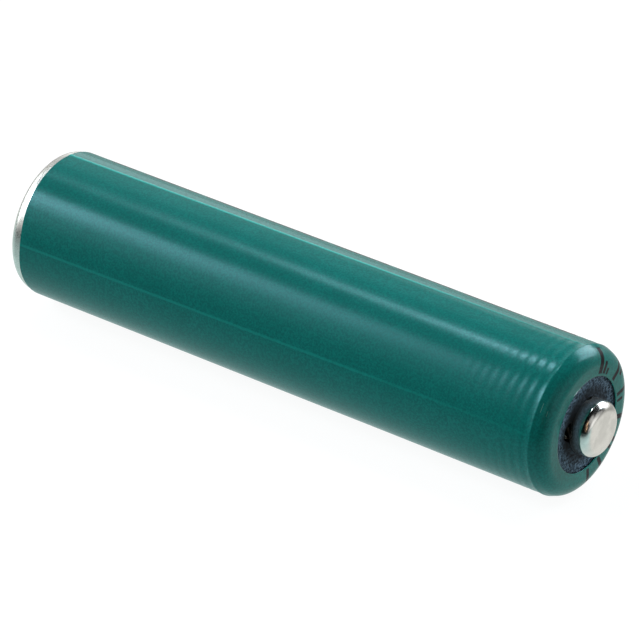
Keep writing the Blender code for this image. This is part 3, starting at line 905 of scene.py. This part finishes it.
def make_materials():
    """Every material by its slot name."""
    made = {
        "teal_pvc": teal_pvc(),
        "navy_fibre": navy_fibre(),
        "cap_nickel": nickel("cap_nickel", (0.83, 0.82, 0.775, 1.0), 0.20, 0.05, 0.3),
        "can_nickel": nickel("can_nickel", (0.78, 0.765, 0.71, 1.0), 0.31, 0.06, 1.0),
    }
    for slot, *values in METALS:
        made[slot] = plain_metal(slot, *values)
    for slot, *values in SOLIDS:
        made[slot] = plain_solid(slot, *values)
    return made


def finish_piece(piece, body, slot, *nodes):
    """Give a piece its material, its body and the CAD nodes that it stands for."""
    piece.data.materials.clear()
    piece.data.materials.append(MATERIALS[slot])
    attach(piece, body)
    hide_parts(*nodes)


def paint_nodes():
    """The CAD nodes that stay shown get their slot's material and smooth round faces."""
    for node in frame["nodes"].values():
        if node.hide_render:
            continue
        slot = node.data.materials[0].name.split(".")[0]
        node.data.materials[0] = MATERIALS[slot]
        smooth(node.data)


# ---------------------------------------------------------------- stage


class World(Graph):
    """The studio's light, as soft panels seen from the cell."""

    def __init__(self):
        self.world = bpy.data.worlds.new("studio")
        bpy.context.scene.world = self.world
        self.world.use_nodes = True
        self.tree = self.world.node_tree
        self.background = self.tree.nodes["Background"]
        self.direction = self.add("ShaderNodeTexCoord").outputs["Generated"]

    def panel(self, centre, half_width, half_height, edge):
        """1 inside a rectangular patch of sky that faces the cell, 0 outside, with a soft edge."""
        middle = Vector(centre).normalized()
        right = Vector((1.0, 0.0, 0.0))
        right = (right - middle * right.dot(middle)).normalized()
        up = middle.cross(right)
        ahead = self.vector("DOT_PRODUCT", self.direction, tuple(middle))
        depth = self.math("MAXIMUM", ahead, 0.05)
        shape = self.step(ahead, 0.02, 0.05)
        for axis, half in ((right, half_width), (up, half_height)):
            side = self.vector("DOT_PRODUCT", self.direction, tuple(axis))
            ratio = self.math("ABSOLUTE", self.math("DIVIDE", side, depth))
            inside = self.step(ratio, max(half - edge, 0.0), half + edge, 1.0, 0.0)
            shape = self.math("MULTIPLY", shape, inside)
        return shape


def toward(lean, turn):
    """Direction that leans from the cell's middle plane towards +X, at a turn round the cell."""
    lean = radians(lean)
    turn = radians(turn)
    return (sin(lean), cos(lean) * cos(turn), cos(lean) * sin(turn))


COOL = (0.92, 1.04, 1.12)
WHITE = (1.0, 1.0, 1.0)
WARM = (1.0, 0.66, 0.42)
PANELS = (
    # direction, half width, half height, soft edge, strength, tint
    (toward(-39.5, 118.0), 0.12, 0.09, 0.05, 12.0, COOL),  # broad highlight
    (toward(-39.5, 129.0), 0.12, 0.10, 0.05, 7.5, COOL),
    (toward(-38.0, 146.0), 0.12, 0.16, 0.08, 1.2, COOL),
    (toward(-22.0, 79.5), 0.14, 0.035, 0.03, 21.0, COOL),  # narrow highlight
    (toward(-22.0, 84.0), 0.12, 0.040, 0.03, 8.0, COOL),
    (toward(8.0, 31.0), 0.40, 0.29, 0.03, 6.8, COOL),  # softbox at the back
    (toward(-58.0, 103.0), 0.22, 0.30, 0.06, 2.8, COOL),  # high on the left
    (toward(-57.0, 135.0), 0.18, 0.25, 0.06, 5.0, COOL),
    (toward(-58.0, 40.0), 0.40, 0.60, 0.10, 0.6, WHITE),  # left wall
    (toward(-58.0, 170.0), 0.40, 0.50, 0.10, 0.9, WHITE),
    (toward(75.0, 40.0), 0.50, 0.40, 0.10, 0.45, WHITE),  # right wall
    (toward(-32.0, 8.0), 0.16, 0.16, 0.08, 1.2, WHITE),  # back wall
    (toward(-32.0, 26.0), 0.16, 0.14, 0.08, 0.2, WHITE),
    (toward(-32.0, 44.0), 0.16, 0.14, 0.08, 0.5, COOL),
    (toward(16.0, 5.0), 0.42, 0.16, 0.08, 1.2, WHITE),
    (toward(85.0, 143.0), 0.45, 0.45, 0.15, 0.55, WHITE),
    (toward(42.0, 114.0), 0.28, 0.28, 0.12, 0.50, WHITE),
    (toward(28.0, 146.0), 0.30, 0.30, 0.10, 0.06, WARM),  # the dim room in front
    (toward(24.0, 139.0), 0.045, 0.14, 0.03, 1.9, WARM),  # and two warm lamps in it
    (toward(34.0, 158.0), 0.04, 0.09, 0.03, 1.8, WARM),
)
FLOOR_START = 0.05  # brightness of the floor as the cell mirrors it, far in front
FLOOR_STEPS = (
    # from y, to y in millimetres, brightness from there on
    (-40.0, -6.0, 0.56),
    (-10.0, -5.5, 0.68),
    (-3.0, 3.0, 0.76),
    (10.0, 20.0, 0.44),
)
FRONT_TINT = (0.82, 1.13, 1.14, 1.0)
BACK_TINT = (1.0, 1.0, 0.97, 1.0)


def light_world():
    """Light from the panels, in front of a white backdrop that only the camera sees."""
    w = World()
    total = (0.0, 0.0, 0.0)
    for centre, half_width, half_height, edge, strength, tint in PANELS:
        patch = w.panel(centre, half_width, half_height, edge)
        lit = w.vector("SCALE", tuple(strength * part for part in tint), scale=patch)
        total = w.vector("ADD", total, lit)
    w.feed(w.background.inputs["Color"], total)
    seen = w.add("ShaderNodeLightPath").outputs["Is Camera Ray"]
    white = w.add("ShaderNodeBackground")
    white.inputs["Color"].default_value = grey(1.0)
    blend = w.add("ShaderNodeMixShader")
    w.feed(blend.inputs[0], seen)
    w.tree.links.new(w.background.outputs[0], blend.inputs[1])
    w.tree.links.new(white.outputs[0], blend.inputs[2])
    w.tree.links.new(blend.outputs[0], w.tree.nodes["World Output"].inputs["Surface"])


def build_floor(level):
    """A wide floor, white to the camera. The cell mirrors it as a light table, dimmer in front."""
    bpy.ops.mesh.primitive_plane_add(size=6.0, location=(0.0, 0.0, level))
    floor = bpy.context.object
    floor.name = "floor"
    g = Graph("pale_floor")
    y = g.split(g.mm)[1]
    g.finish(grey(0.12), 0.9, **{"Specular IOR Level": 0.0})
    ramp = FLOOR_START
    before = FLOOR_START
    for start, end, brightness in FLOOR_STEPS:
        ramp = g.math("ADD", ramp, g.step(y, start, end, 0.0, brightness - before))
        before = brightness
    table = g.add("ShaderNodeEmission")
    g.feed(table.inputs["Strength"], ramp)
    g.feed(table.inputs["Color"], g.mix(g.step(y, -7.0, 3.0), FRONT_TINT, BACK_TINT))
    white = g.add("ShaderNodeEmission")
    white.inputs["Strength"].default_value = 0.93
    seen_white = g.add("ShaderNodeAddShader")
    g.tree.links.new(g.shader.outputs[0], seen_white.inputs[0])
    g.tree.links.new(white.outputs[0], seen_white.inputs[1])
    blend = g.add("ShaderNodeMixShader")
    g.feed(blend.inputs[0], g.add("ShaderNodeLightPath").outputs["Is Camera Ray"])
    g.tree.links.new(table.outputs[0], blend.inputs[1])
    g.tree.links.new(seen_white.outputs[0], blend.inputs[2])
    g.tree.links.new(blend.outputs[0], g.tree.nodes["Material Output"].inputs["Surface"])
    floor.data.materials.append(g.material)


def add_camera():
    """A long lens that looks down on the cell from in front of its button end."""
    a = radians(CAMERA_AZIMUTH)
    e = radians(CAMERA_ELEVATION)
    back = Vector((sin(a) * cos(e), -cos(a) * cos(e), sin(e)))
    right = Vector((cos(a), sin(a), 0.0))
    up = back.cross(right)
    along_cell, aside, above = CAMERA_AIM
    data = bpy.data.cameras.new("camera")
    data.sensor_width = 36.0
    data.lens = CAMERA_LENS
    data.clip_start = 0.01
    data.clip_end = 20.0
    camera = bpy.data.objects.new("camera", data)
    bpy.context.scene.collection.objects.link(camera)
    aim = Vector((along_cell, 0.0, 0.0)) + right * aside + up * above
    camera.location = aim + back * CAMERA_DISTANCE
    camera.rotation_mode = "QUATERNION"
    camera.rotation_quaternion = (-back).to_track_quat("-Z", "Y")
    bpy.context.scene.camera = camera


MATERIALS = make_materials()
build_sleeve()
build_washer()
build_cap()
build_can()
build_cover()
build_valve()
build_spring()
paint_nodes()
build_floor(CAD_BOX[0].z)
light_world()
add_camera()
bpy.context.scene.view_settings.view_transform = "Standard"
